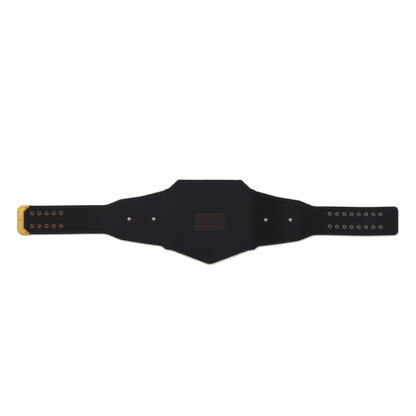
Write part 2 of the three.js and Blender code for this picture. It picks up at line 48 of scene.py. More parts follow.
# Sizes of the leather
LEATHER = 0.003
STRAP_HALF = 0.050
TIP_REACH = 0.6648
STUD_REACH = 0.6508
STUD_END_CORNER = 0.015
SWAY = 0.0045
PANEL_HALF = 0.153
PANEL_TOP = 0.1395
PANEL_CORNER = 0.1042
PANEL_POINT = 0.1542
POINT_ROUND = 0.035
CHAMFER = 0.0318
UPPER_LEDGE = 0.0122
LOWER_LEDGE = 0.020
LEDGE_FALL = 0.0022
UPPER_STEP = 0.0064
UPPER_LIFT = 0.0022
LOWER_STEP = 0.0115
LOWER_STEP_RUN = 0.0145
CORNER_ROUND = 0.005
WING_REACH = 0.309
WING_OUTER = 0.070
WING_HOLLOW = 0.003
WING_CROWN = 0.0013
WING_CURVE = 0.300
SHOULDER = 0.049
SHOULDER_ROUND = 0.028

# Finish of the leather's edges, and of its surface round what is set in it
EDGE_ROUND = 0.0012
BURNISH = 0.0045
BURNISH_DROP = 0.00022
EDGE_INNER = 0.0028
CREASE_INSET = 0.0070
CREASE_HALF = 0.0007
CREASE_DEPTH = 0.00035
SEAT_REACH = 0.0125
SEAT_DEPTH = 0.00018
SEAT_RINGS = (0.0068, 0.0078, 0.0092, 0.0110, 0.0130)
DIMPLE_REACH = 0.0042
DIMPLE_DEPTH = 0.0009
DIMPLE_RINGS = (0, 0.0012, 0.0023, 0.0045, 0.0058, 0.0075)

# Stamped panel on the back, left bare
STAMP_HALF_LENGTH = 0.050
STAMP_HALF_HEIGHT = 0.029
STAMP_DROP = 0.0048
STAMP_BAND = 0.013
STAMP_LINE = 0.0024
STAMP_LINES = (0, 0.35 * STAMP_LINE, 0.65 * STAMP_LINE, STAMP_LINE)
STAMP_FINE_LINES = (0.0042, 0.0046, 0.0050)
STAMP_BAND_GAP = 0.0006
STAMP_DEPTH = 0.0005
STAMP_FIELD = 0.25
STAMP_FINE = 0.7

# Plates and what holds them
CLEARANCE = 0.0003
SEAT_GAP = CLEARANCE / 2
PLATE_MARGIN = 0.007
MAIN_BASE = 0.0035
MAIN_RELIEF = 0.0022
MAIN_RIM = 0.009
MAIN_ROUNDEL = 0.060
ROUNDEL_RING = 0.006
SIDE_BASE = 0.0024
SIDE_RELIEF = 0.0016
SIDE_RIM = 0.006
SIDE_ROUNDEL = 0.036
PLATE_CORNER = 0.0025
PLATE_ROUND = 0.0008
FINE_ROUND = 0.3 * PLATE_ROUND
BACK_EASE = 0.6
RELIEF_SLOPE = 0.6
POST_RADIUS = 0.003
POST_LENGTH = 0.0018
TOP_POST_INSET = 0.030
POINT_POST_INSET = 0.040
FLANK_POST_INSET = 0.024
FLANK_POST_DROP = 0.072
WING_POST_INSET = 0.010
WING_POST_LOW = 0.014
WING_POST_HIGH = 0.023
SCREW_HEAD = 0.0063
SCREW_DOME = 0.0034
SCREW_SHANK = 0.002
SCREW_INNER_INSET = 0.022
SCREW_OUTER_INSET = 0.024
PLATE_SKIN = 0.0008

# Snaps, tip cap and rivets
MIDDLE_LIFT = 0.0012
SNAP_PITCH = 0.025
ROW_SPACING = 0.044
SOCKETS_PER_ROW = 5
STUDS_PER_ROW = 8
SOCKET_SETBACK = 0.029
STUD_SETBACK = 0.062
FIELD_BORDER = 0.014
SNAP_SHANK = 0.0029
SNAP_CAP = 0.0075
SNAP_DOME = 0.003
SOCKET_RADIUS = 0.0073
SOCKET_HEIGHT = 0.0028
RING_RADIUS = 0.0069
RING_HEIGHT = 0.0012
STUD_RADIUS = 0.0036
STUD_HEIGHT = 0.004
STUD_BASE = 0.006
CAP_WALL = 0.0014
CAP_BAND = 0.0233
CAP_EAR = 0.046
CAP_THROAT = 0.0285
CAP_CORNER = 0.022
CAP_EDGE = 0.0016
CUT_EDGE = 0.35
EAR_BLUNT = 0.0018
EAR_FOLD = 0.044
EAR_FADE = 0.004
BAND_FADE = 0.010
RIVET_HEAD = 0.0027
RIVET_SHANK = 0.0014
RIVET_HEIGHT = 0.0008
BAND_RIVET_INSET = 0.0126
EAR_RIVET_INSET = 0.030
EAR_RIVET_EDGE = 0.0076

# Mesh steps, counts of sides, and the small lengths that count as touching or as none
OUTLINE_STEP = 0.0025
OUTLINE_LEAST = 0.0001
GRID_STEP = 0.0045
PLATE_OUTLINE_STEP = 0.004
PLATE_GRID_STEP = 0.008
CAP_OUTLINE_STEP = 0.002
CAP_GRID_STEP = 0.003
CORNER_ROOM = 0.45
CORNER_STEPS = 10
PLATE_CORNER_STEPS = 5
HOLE_SIDES = 16
KEYHOLE_SIDES = 24
SEAT_RING_SIDES = 20
DIMPLE_RING_SIDES = 14
ROUNDEL_SIDES = 96
LATHE_SIDES = 48
LATHE_STEPS = 4
STEEP = 0.00002
HAIR = 0.000001
TINY = 0.000000001
MM_IN_METRE = 1000
MERGED_MM = 0.00001
INSET_KEPT = 0.995
BATCH = 1000

# Edges that turn by less than these degrees are shaded smooth
LEATHER_SMOOTH = 40
PLATE_SMOOTH = 28
LATHE_SMOOTH = 35
CAP_SMOOTH = 50

# Photograph: the camera looks straight down, and a pixel covers this much of the belt
PIXEL = 0.00345
PHOTO_WIDTH = 416
PHOTO_BELT_MIDDLE = (209.8, 220.0)
LENS = 85.0
SENSOR = 36.0
VIEW_REACH = 50.0

# Studio: half the floor's width, and each light's place, width and power
FLOOR_HALF = 40.0
KEY_LIGHT = ((-3.4, 3.8, 7.2), 7.0, 710)
FILL_LIGHT = ((4.2, 1.6, 5.0), 4.5, 135)
LIGHT_TONE = (1.0, 0.985, 0.98)
SKY_TONE = (0.95, 0.97, 1.0, 1)
SKY_STRENGTH = 0.32

LEATHER_TIP = TIP_REACH - CAP_WALL - CLEARANCE
TIP_CORNER = CAP_CORNER - CAP_WALL - CLEARANCE
TIP_RISE = CLEARANCE + max(SNAP_DOME, CAP_WALL + CLEARANCE + RIVET_HEIGHT)
STUD_RISE = CLEARANCE + STUD_HEIGHT
WING_RISE = CLEARANCE + SIDE_BASE + SIDE_RELIEF
MAIN_RISE = CLEARANCE + MAIN_BASE + MAIN_RELIEF
FIRST_SOCKET = -TIP_REACH + CAP_BAND + SOCKET_SETBACK
LAST_SOCKET = FIRST_SOCKET + (SOCKETS_PER_ROW - 1) * SNAP_PITCH
LAST_STUD = STUD_REACH - STUD_SETBACK
FIRST_STUD = LAST_STUD - (STUDS_PER_ROW - 1) * SNAP_PITCH
MAIN_SIDE = PANEL_HALF - UPPER_LEDGE
SIDE_INNER = PANEL_HALF + LOWER_STEP_RUN + PLATE_MARGIN / 2
SIDE_OUTER = WING_REACH - PLATE_MARGIN
SIDE_MIDDLE = (SIDE_INNER + SIDE_OUTER) / 2
UPPER_FOOT = PANEL_TOP - CHAMFER

# Where the belt's middle lies in the frame: across the main plate's middle, on the centre line
plate_low, plate_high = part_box("main_plate")
MIDDLE_X = (plate_low.x + plate_high.x) / 2
MIDDLE_Y = plate_high.y - (PANEL_TOP - PLATE_MARGIN)


def smoothstep(value):
    value = np.clip(value, 0, 1)
    return value * value * (3 - 2 * value)


def bump(distance, reach):
    """1 at no distance, falling smoothly to nothing a little past the reach."""
    return np.exp(-((distance / reach) ** 2))


def fold(rows, x):
    """Value at x of rows (at, value), joined by curves that are level at each row."""
    at, values = np.array(rows).T
    x = np.clip(x, at[0], at[-1])
    upper = np.clip(np.searchsorted(at, x), 1, len(at) - 1)
    share = smoothstep((x - at[upper - 1]) / (at[upper] - at[upper - 1]))
    return values[upper - 1] + share * (values[upper] - values[upper - 1])


# How far the belt bows sideways where it lies: (at, bow)
SWAY_ROWS = [
    (-LEATHER_TIP + 1.2 * CAP_EAR, 0.03 * SWAY),
    (-0.58 * TIP_REACH, 0.47 * SWAY),
    (0, 0),
    (0.59 * STUD_REACH, -0.47 * SWAY),
    (0.83 * STUD_REACH, -SWAY),
    (STUD_REACH, -0.62 * SWAY),
]

# How high the leather's front face lies over plates, snaps and the table: (at, height)
RISE_ROWS = [
    (LAST_SOCKET + FIELD_BORDER, TIP_RISE),
    ((LAST_SOCKET + FIELD_BORDER - WING_REACH) / 2, 0.45 * TIP_RISE),
    (-WING_REACH, WING_RISE),
    (-SIDE_INNER, WING_RISE),
    (PLATE_MARGIN - MAIN_SIDE, MAIN_RISE),
    (MAIN_SIDE - PLATE_MARGIN, MAIN_RISE),
    (SIDE_INNER, WING_RISE),
    (WING_REACH, WING_RISE),
    ((WING_REACH + FIRST_STUD - FIELD_BORDER) / 2, 0.7 * STUD_RISE),
    (FIRST_STUD - FIELD_BORDER, STUD_RISE),
    (LAST_STUD + FIELD_BORDER, STUD_RISE),
    (STUD_REACH, 0.75 * STUD_RISE),
]


# How dark the back is toned along the belt with painted shade, which stands in for the slopes and uneven
# light that darken it, darkest past the fold beside the panel: (at, share)
PAINTED_SHADE_ROWS = [
    (-0.520, 0.60),
    (-0.310, 0),
    (0.135, 0),
    (0.150, 0.45),
    (0.1565, 0.50),
    (0.1590, 1),
    (0.215, 1),
    (0.283, 0),
    (0.345, 0.65),
    (0.385, 0.60),
    (0.500, 0),
]


def sway_at(x):
    return fold(SWAY_ROWS, x)


def rise_at(x):
    return fold(RISE_ROWS, x)


def rounded_line(corners, steps=CORNER_STEPS):
    """A line through corners (along, out, round), each corner rounded as far as its sides allow."""
    points = []
    for i, (along, out, radius) in enumerate(corners):
        here = Vector((along, out))
        if radius == 0 or i in (0, len(corners) - 1):
            points.append(here)
            continue
        before = Vector(corners[i - 1][:2]) - here
        after = Vector(corners[i + 1][:2]) - here
        turn = math.pi - before.angle(after)
        room = CORNER_ROOM * min(before.length, after.length)
        reach = min(radius * math.tan(turn / 2), room)
        start = here + before.normalized() * reach
        end = here + after.normalized() * reach
        for k in range(steps + 1):
            share = k / steps
            first = start.lerp(here, share)
            points.append(first.lerp(here.lerp(end, share), share))
    return np.array([tuple(point) for point in points])


def leather_edges():
    """The leather's upper and lower edge, from the belt's middle outwards, lower measured downwards.
    The ledges on the upper edge are lifted a little above the CAD's, as the photo has them."""
    upper_inner = UPPER_FOOT - LEDGE_FALL - UPPER_STEP
    lower_inner = PANEL_CORNER - LEDGE_FALL - LOWER_STEP
    upper_bow = (PANEL_HALF + UPPER_STEP + WING_REACH) / 2
    lower_bow = (PANEL_HALF + LOWER_STEP_RUN + WING_REACH) / 2
    shoulder = [
        (WING_REACH, WING_OUTER, SHOULDER_ROUND),
        (WING_REACH + SHOULDER, STRAP_HALF, 2 * SHOULDER_ROUND),
        (WING_REACH + 2 * SHOULDER, STRAP_HALF, 0),
    ]
    upper = rounded_line([
        (0, PANEL_TOP, 0),
        (MAIN_SIDE - CHAMFER, PANEL_TOP, CORNER_ROUND),
        (MAIN_SIDE, UPPER_FOOT + UPPER_LIFT, CORNER_ROUND),
        (PANEL_HALF, UPPER_FOOT - LEDGE_FALL, CORNER_ROUND),
        (PANEL_HALF + UPPER_STEP, upper_inner + UPPER_LIFT, CORNER_ROUND),
        (upper_bow, (upper_inner + WING_OUTER) / 2 - WING_HOLLOW, WING_CURVE),
        *shoulder,
    ])
    lower = rounded_line([
        (LOWER_LEDGE - PANEL_HALF, PANEL_CORNER, 0),
        (0, PANEL_POINT, POINT_ROUND),
        (PANEL_HALF - LOWER_LEDGE, PANEL_CORNER, CORNER_ROUND),
        (PANEL_HALF, PANEL_CORNER - LEDGE_FALL, CORNER_ROUND),
        (PANEL_HALF + LOWER_STEP_RUN, lower_inner, CORNER_ROUND),
        (lower_bow, (lower_inner + WING_OUTER) / 2 + WING_CROWN, WING_CURVE),
        *shoulder,
    ])
    return upper, lower[lower[:, 0] > -TINY]


UPPER_EDGE, LOWER_EDGE = leather_edges()


def corner_cut(from_end, radius):
    """How much a rounded end corner takes off the strap's half width, at a distance from that end."""
    inside = np.clip(radius - from_end, 0, radius)
    return radius - np.sqrt(radius**2 - inside**2)


def leather_outline():
    """The leather's outline about the belt's middle, clockwise from the tip."""
    ends = []
    for k in range(2 * CORNER_STEPS + 1):
        share = 1 - math.cos(k / (2 * CORNER_STEPS) * math.pi / 2)
        ends += [-LEATHER_TIP + share * TIP_CORNER, STUD_REACH - share * STUD_END_CORNER]
    even = np.arange(-LEATHER_TIP + TIP_CORNER, STUD_REACH - STUD_END_CORNER, OUTLINE_STEP)
    corners = np.concatenate([UPPER_EDGE[:, 0], LOWER_EDGE[:, 0]])
    x = np.unique(np.round(np.concatenate([ends, even, corners, -corners]), 7))
    x = x[np.concatenate([[True], np.diff(x) > OUTLINE_LEAST])]
    cut = corner_cut(x + LEATHER_TIP, TIP_CORNER) + corner_cut(STUD_REACH - x, STUD_END_CORNER)
    top = np.interp(abs(x), *UPPER_EDGE.T) - cut + sway_at(x)
    bottom = -np.interp(abs(x), *LOWER_EDGE.T) + cut + sway_at(x)
    return resampled(np.concatenate([np.column_stack([x, top]), np.column_stack([x, bottom])[::-1]]))


def resampled(loop, step=OUTLINE_STEP):
    """A closed loop with points added wherever two lie further apart than a step."""
    points = []
    for here, there in zip(loop, np.roll(loop, -1, axis=0)):
        count = max(1, math.ceil(np.linalg.norm(there - here) / step))
        points += [here + (there - here) * k / count for k in range(count)]
    return np.array(points)


def distance_to(loop, points):
    """Distance of each point from a closed loop of lines."""
    start = loop
    run = np.roll(loop, -1, axis=0) - loop
    length = np.maximum((run**2).sum(1), TINY**2)
    nearest = np.empty(len(points))
    for first in range(0, len(points), BATCH):
        away = points[first:first + BATCH, None] - start[None]
        share = np.clip((away * run).sum(2) / length, 0, 1)
        nearest[first:first + BATCH] = np.sqrt(((away - share[..., None] * run) ** 2).sum(2)).min(1)
    return nearest


def inside(loop, points):
    """True for each point that lies within a closed loop."""
    found = np.zeros(len(points), bool)
    for here, there in zip(loop, np.roll(loop, -1, axis=0)):
        crosses = (here[1] > points[:, 1]) != (there[1] > points[:, 1])
        if crosses.any():
            slope = (there[0] - here[0]) / (there[1] - here[1])
            found ^= crosses & (points[:, 0] < here[0] + slope * (points[:, 1] - here[1]))
    return found


def inset(loop, distance):
    """A closed loop moved inwards, without the stretches that fold over at tight corners."""
    along = np.roll(loop, -1, axis=0) - np.roll(loop, 1, axis=0)
    along /= np.linalg.norm(along, axis=1)[:, None]
    area = (loop[:, 0] * np.roll(loop[:, 1], -1) - loop[:, 1] * np.roll(loop[:, 0], -1)).sum()
    inward = np.column_stack([-along[:, 1], along[:, 0]]) * math.copysign(1, area)
    moved = loop + inward * distance
    kept = distance_to(loop, moved) > INSET_KEPT * distance
    return moved[kept]


def ring(centre, radius, count=HOLE_SIDES):
    angles = np.arange(count) * 2 * math.pi / count
    return np.array(centre) + radius * np.column_stack([np.cos(angles), np.sin(angles)])


def rectangle(half_length, half_height, y):
    corners = [(-1, -1), (1, -1), (1, 1), (-1, 1)]
    loop = np.array([(a * half_length, y + b * half_height) for a, b in corners])
    return resampled(loop)


def grid(loop, step, clear):
    """Points in rows inside a closed loop, staggered, that stay clear of it."""
    low, high = loop.min(0), loop.max(0)
    rows = np.arange(low[1], high[1], step * math.sqrt(0.75))
    points = [
        (x, y)
        for k, y in enumerate(rows)
        for x in np.arange(low[0] + step * (k % 2) / 2, high[0], step)
    ]
    points = np.array(points)
    points = points[inside(loop, points)]
    return points[distance_to(loop, points) > clear]


def triangulated(outline, loops, dots, holes):
    """Flat triangles that fill an outline and keep to loops drawn on it, with holes left open."""
    points, edges = [], []
    for loop in [outline, *loops, *holes]:
        first = len(points)
        points += [Vector(point * MM_IN_METRE) for point in loop]
        edges += [(first + k, first + (k + 1) % len(loop)) for k in range(len(loop))]
    points += [Vector(point * MM_IN_METRE) for point in dots]
    made = geometry.delaunay_2d_cdt(points, edges, [], 0, MERGED_MM, False)
    flat = np.array([tuple(point) for point in made[0]]) / MM_IN_METRE
    faces = np.array(made[2])
    faces = faces[inside(outline, flat[faces].mean(1))]
    for hole in holes:
        faces = faces[~inside(hole, flat[faces].mean(1))]
    a, b, c = flat[faces[:, 0]], flat[faces[:, 1]], flat[faces[:, 2]]
    turn = (b[:, 0] - a[:, 0]) * (c[:, 1] - a[:, 1]) - (b[:, 1] - a[:, 1]) * (c[:, 0] - a[:, 0])
    if turn.sum() < 0:
        faces = faces[:, ::-1]
    used = np.unique(faces)
    place = np.full(len(flat), -1)
    place[used] = np.arange(len(used))
    return flat[used], place[faces]


def closed_body(name, flat, faces, upper, lower, marks=None, smooth=LEATHER_SMOOTH):
    """Two sheets over the same triangles, joined round their open edges, in the frame."""
    count = len(flat)
    x, y = flat[:, 0] + MIDDLE_X, flat[:, 1] + MIDDLE_Y
    vertices = np.concatenate([np.column_stack([x, y, upper]), np.column_stack([x, y, lower])])
    sides = np.concatenate([faces[:, [0, 1]], faces[:, [1, 2]], faces[:, [2, 0]]])
    known = {tuple(side) for side in sides.tolist()}
    rims = [(a, b) for a, b in sides.tolist() if (b, a) not in known]
    polygons = faces.tolist() + (faces[:, ::-1] + count).tolist()
    polygons += [(b, a, a + count, b + count) for a, b in rims]
    mesh = bpy.data.meshes.new(name)
    mesh.from_pydata(vertices.tolist(), [], polygons)
    for key, values in (marks or {}).items():
        data = mesh.attributes.new(key, "FLOAT", "POINT").data
        data.foreach_set("value", np.concatenate([values, values]).astype(np.float32))
    return finished(name, mesh, smooth)


def finished(name, mesh, smooth):
    """An object of a mesh, smooth but for its sharper edges."""
    mesh.update()
    mesh.polygons.foreach_set("use_smooth", [True] * len(mesh.polygons))
    mesh.set_sharp_from_angle(angle=math.radians(smooth))
    piece = bpy.data.objects.new(name, mesh)
    bpy.context.scene.collection.objects.link(piece)
    return piece


def dress(piece, material, node):
    """Gives a piece its finish and puts it in the place of its CAD node."""
    piece.data.materials.clear()
    piece.data.materials.append(material)
    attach(piece, "root")
    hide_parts(node)
    return piece


def main_outline():
    """Corners of the main plate, a margin inside the leather's centre panel, anticlockwise."""
    fall = (PANEL_POINT - PANEL_CORNER) / (PANEL_HALF - LOWER_LEDGE)
    half = [
        (MAIN_SIDE, fall * MAIN_SIDE - PANEL_POINT),
        (MAIN_SIDE, UPPER_FOOT),
        (MAIN_SIDE - CHAMFER, PANEL_TOP),
    ]
    mirrored = [(-x, y) for x, y in reversed(half)]
    return mitred([(0, -PANEL_POINT), *half, *mirrored], PLATE_MARGIN)


def mitred(corners, distance):
    """Corners of an anticlockwise outline moved inwards by a distance."""
    moved = []
    for i, corner in enumerate(corners):
        here = Vector(corner)
        into = (here - Vector(corners[i - 1])).normalized()
        onward = (Vector(corners[(i + 1) % len(corners)]) - here).normalized()
        inward = Vector((-into.y - onward.y, into.x + onward.x)).normalized()
        moved.append(here + inward * distance / math.sqrt((1 + into.dot(onward)) / 2))
    return [tuple(point) for point in moved]


def side_outline():
    """Corners of the stud side's side plate about its own middle, anticlockwise."""
    inner, outer = [
        (
            at - SIDE_MIDDLE,
            PLATE_MARGIN - np.interp(at, *LOWER_EDGE.T),
            np.interp(at, *UPPER_EDGE.T) - PLATE_MARGIN,
        )
        for at in (SIDE_INNER, SIDE_OUTER)
    ]
    return [(inner[0], inner[1]), (outer[0], outer[1]), (outer[0], outer[2]), (inner[0], inner[2])]


def main_posts():
    side = MAIN_SIDE - PLATE_MARGIN - FLANK_POST_INSET
    point = main_outline()[0][1]
    return [
        (0, PANEL_TOP - PLATE_MARGIN - TOP_POST_INSET),
        (0, point + POINT_POST_INSET),
        (-side, -FLANK_POST_DROP),
        (side, -FLANK_POST_DROP),
    ]


def side_posts():
    """Places of the posts on the stud side's side plate, about its own middle."""
    _, low, high, _ = side_outline()
    along = low[0] - WING_POST_INSET
    return [(along, low[1] + WING_POST_LOW), (along, high[1] - WING_POST_HIGH)]


def snap_places(first, count):
    """Both rows of a snap field, each place with the sideways bow of the strap there."""
    places = []
    for side in (1, -1):
        for k in range(count):
            x = first + k * SNAP_PITCH
            places.append((x, MIDDLE_LIFT + side * ROW_SPACING / 2 + float(sway_at(x))))
    return places


SOCKETS = snap_places(FIRST_SOCKET, SOCKETS_PER_ROW)
STUDS = snap_places(FIRST_STUD, STUDS_PER_ROW)
SCREWS_ALONG = [SIDE_INNER + SCREW_INNER_INSET, SIDE_OUTER - SCREW_OUTER_INSET]
SIDES = {"tip_side": -1, "stud_side": 1}
SIDE_SWAY = {name: float(sway_at(side * SIDE_MIDDLE)) for name, side in SIDES.items()}
SCREWS = {
    name: [(side * along, MIDDLE_LIFT + SIDE_SWAY[name]) for along in SCREWS_ALONG]
    for name, side in SIDES.items()
}
WING_POSTS = [
    (side * (SIDE_MIDDLE + x), y + SIDE_SWAY[name])
    for name, side in SIDES.items()
    for x, y in side_posts()
]
POSTS = main_posts() + WING_POSTS

# How clearly each post shows as a dimple in the leather's back, in depth and in the painted shade laid in
# it, in the order of the posts
DIMPLE_SHOWS = (0.25, 1.0, 0.7, 0.7, 0.6, 0.2, 1.0, 1.0)

TIP_SWAY = float(sway_at(-TIP_REACH))
RIVETS = [
    (BAND_RIVET_INSET - TIP_REACH, TIP_SWAY),
    (EAR_RIVET_INSET - TIP_REACH, TIP_SWAY + STRAP_HALF - EAR_RIVET_EDGE),
    (EAR_RIVET_INSET - TIP_REACH, TIP_SWAY - STRAP_HALF + EAR_RIVET_EDGE),
]


def away_from(place, flat):
    return np.hypot(flat[:, 0] - place[0], flat[:, 1] - place[1])


def rounding(distance, radius):
    """How far a rounded rim has fallen at a distance inside the outline."""
    short = np.clip(radius - distance, 0, radius)
    return radius - np.sqrt(radius**2 - short**2)


def step_rings(place, radius):
    """The two circles, a hair apart, that a sunk or raised step is drawn between."""
    return [ring(place, radius, KEYHOLE_SIDES), ring(place, radius - STEEP, KEYHOLE_SIDES)]


def sunk_step(flat, place, radius):
    """1 inside a circle and 0 outside, changing between the circle's two step rings."""
    return np.clip((radius - away_from(place, flat)) / STEEP, 0, 1)


def stamp_band():
    """Half the length of the rule over the stamp's lower band, and its place below the stamp's middle."""
    return STAMP_HALF_LENGTH - STAMP_FINE_LINES[-1] - STAMP_BAND_GAP, STAMP_BAND - STAMP_HALF_HEIGHT


def stamp_loops():
    """Loops that the mesh keeps to round the stamped panel's rules and its lower band."""
    loops = [
        rectangle(STAMP_HALF_LENGTH - d, STAMP_HALF_HEIGHT - d, -STAMP_DROP)
        for d in (*STAMP_LINES, *STAMP_FINE_LINES)
    ]
    reach, band = stamp_band()
    loops += [rectangle(reach, 0.5 * STAMP_LINE - d, band - STAMP_DROP) for d in STAMP_LINES[:2]]
    return loops


def stamp_relief(flat):
    """How deep the stamp's rules are pressed, and 1 for each point within the stamp."""
    x, y = abs(flat[:, 0]), flat[:, 1] + STAMP_DROP
    within = np.minimum(STAMP_HALF_LENGTH - x, STAMP_HALF_HEIGHT - abs(y))
    rule = np.interp(within, STAMP_LINES, (0, 1, 1, STAMP_FIELD), left=0, right=STAMP_FIELD)
    fine_depths = (STAMP_FIELD, STAMP_FINE, STAMP_FIELD)
    fine = np.interp(within, STAMP_FINE_LINES, fine_depths, left=0, right=0)
    reach, band = stamp_band()
    across = np.minimum(0.5 * STAMP_LINE - abs(y - band), reach - x)
    line = np.interp(across, STAMP_LINES[:2], (0, 1), left=0, right=1)
    return STAMP_DEPTH * np.maximum.reduce([rule, fine, line]), (within > -HAIR).astype(float)


def leather_strap():
    outline = leather_outline()
    edge_depths = [EDGE_ROUND * (1 - math.cos(math.radians(a))) for a in (30, 60, 90)]
    crease = [CREASE_INSET + k * CREASE_HALF for k in (-2, -1, 0, 1, 2)]
    loops = [inset(outline, depth) for depth in [*edge_depths, EDGE_INNER, BURNISH, *crease]]
    loops += stamp_loops()
    seats = SOCKETS + STUDS
    screws = SCREWS["tip_side"] + SCREWS["stud_side"]
    holes = [ring(place, SNAP_SHANK + CLEARANCE) for place in seats]
    holes += [ring(place, SCREW_SHANK + CLEARANCE) for place in screws]
    holes += [ring(place, RIVET_SHANK + CLEARANCE) for place in RIVETS]
    keyhole = POST_RADIUS + CLEARANCE
    for place in POSTS:
        loops += step_rings(place, keyhole)
    dots = [grid(outline, GRID_STEP, CREASE_INSET + 3 * CREASE_HALF)]
    for place in seats + screws:
        dots += [ring(place, radius, SEAT_RING_SIDES) for radius in SEAT_RINGS]
    for place in POSTS:
        dots += [ring(place, radius, DIMPLE_RING_SIDES) for radius in DIMPLE_RINGS]
    flat, faces = triangulated(outline, loops, np.concatenate(dots), holes)

    edge = distance_to(outline, flat)
    front = rise_at(flat[:, 0])
    worn = rounding(edge, EDGE_ROUND) + BURNISH_DROP * (1 - smoothstep(edge / BURNISH))
    rules, stamped = stamp_relief(flat)
    back = front + LEATHER - worn - rules
    back -= CREASE_DEPTH * bump(edge - CREASE_INSET, CREASE_HALF)
    for place in seats + screws:
        back -= SEAT_DEPTH * (1 - smoothstep(away_from(place, flat) / SEAT_REACH))
    dimpled = np.zeros(len(flat))
    for place, shows in zip(POSTS, DIMPLE_SHOWS):
        dimpled = np.maximum(dimpled, shows * bump(away_from(place, flat), DIMPLE_REACH))
    back -= DIMPLE_DEPTH * dimpled
    front = front + worn
    for place in POSTS:
        front += (POST_LENGTH + SEAT_GAP) * sunk_step(flat, place, keyhole)
    marks = {
        "edge": edge,
        "stamp": stamped,
        "rule": rules / STAMP_DEPTH,
        # Painted shade along the belt's back
        "painted_shade": fold(PAINTED_SHADE_ROWS, flat[:, 0]),
        # Painted shade in the dimples over the posts
        "dimple": dimpled,
    }
    return closed_body("leather_strap", flat, faces, back, front, marks)


def cast_plate(name, corners, base, relief, rim, roundel, posts, bores, turned_over, shift, rise):
    """A plate with a raised rim and a raised blank roundel, its middle shifted from the belt's."""
    line = [(x, y, PLATE_CORNER) for x, y in corners]
    outline = rounded_line([line[-1], *line, line[0]], PLATE_CORNER_STEPS)[1:-1]
    outline = resampled(outline, PLATE_OUTLINE_STEP)
    slope = RELIEF_SLOPE * relief
    rim_loops = [FINE_ROUND, PLATE_ROUND, rim - FINE_ROUND, rim, rim + slope]
    loops = [inset(outline, depth) for depth in rim_loops]
    ring_inner = roundel - ROUNDEL_RING
    radii = [roundel + slope, roundel, roundel - FINE_ROUND, ring_inner + FINE_ROUND]
    radii += [ring_inner, ring_inner - slope / 2]
    loops += [ring((0, 0), radius, ROUNDEL_SIDES) for radius in radii]
    bore = SCREW_SHANK + CLEARANCE
    for place in posts:
        loops += step_rings(place, POST_RADIUS)
    for place in bores:
        loops += step_rings(place, bore)
    dots = grid(outline, PLATE_GRID_STEP, rim + 2 * slope)
    flat, faces = triangulated(outline, loops, dots, [])

    edge = distance_to(outline, flat)
    out = np.hypot(flat[:, 0], flat[:, 1])
    raised = np.interp(edge, [0, rim, rim + slope], [relief, relief, 0])
    from_ring = np.maximum(out - roundel, ring_inner - out)
    raised = np.maximum(raised, np.interp(from_ring, [0, slope], [relief, 0]))
    raised = np.where(out < ring_inner, np.maximum(raised, relief / 2), raised)
    fallen = rounding(edge, PLATE_ROUND)
    eased = fallen + rounding(abs(edge - rim), FINE_ROUND) / 2
    face = rise - base - raised + eased
    behind = rise - BACK_EASE * fallen
    for place in posts:
        behind += POST_LENGTH * sunk_step(flat, place, POST_RADIUS)
    for place in bores:
        behind -= (base - PLATE_SKIN) * sunk_step(flat, place, bore)
    hollow = 1 - np.clip(raised / relief, 0, 1)
    if turned_over:
        flat = flat * (-1, 1)
        faces = faces[:, ::-1]
    marks = {"hollow": hollow}
    return closed_body(name, flat + shift, faces, behind, face, marks, PLATE_SMOOTH)


def turned(name, place, foot, profile):
    """A turned piece. Its profile runs from its low end to its high end, in rows of radius,
    height, the corner's rounding in millimetres, and how tarnished it is."""
    corners = [(radius, height, round_mm / MM_IN_METRE) for radius, height, round_mm, _ in profile]
    line = rounded_line(corners, LATHE_STEPS)
    along = np.array([row[:2] for row in profile])
    tarnish = []
    for point in line:
        nearest = np.argmin(((along - point) ** 2).sum(1))
        tarnish.append(profile[nearest][3])
    angles = np.arange(LATHE_SIDES) * 2 * math.pi / LATHE_SIDES
    x, y = place[0] + MIDDLE_X, place[1] + MIDDLE_Y
    vertices, marks = [], []
    for (radius, height), mark in zip(line, tarnish):
        if radius < TINY:
            vertices.append((x, y, foot + height))
            marks.append(mark)
            continue
        for a in angles:
            vertices.append((x + radius * math.cos(a), y + radius * math.sin(a), foot + height))
            marks.append(mark)
    last = len(vertices) - 1
    around = [(k, (k + 1) % LATHE_SIDES) for k in range(LATHE_SIDES)]
    polygons = [(0, 1 + b, 1 + a) for a, b in around]
    for level in range(len(line) - 3):
        low = 1 + level * LATHE_SIDES
        high = low + LATHE_SIDES
        polygons += [(low + a, low + b, high + b, high + a) for a, b in around]
    high = last - LATHE_SIDES
    polygons += [(last, high + a, high + b) for a, b in around]
    mesh = bpy.data.meshes.new(name)
    mesh.from_pydata(vertices, [], polygons)
    data = mesh.attributes.new("tarnish", "FLOAT", "POINT").data
    data.foreach_set("value", marks)
    return finished(name, mesh, LATHE_SMOOTH)


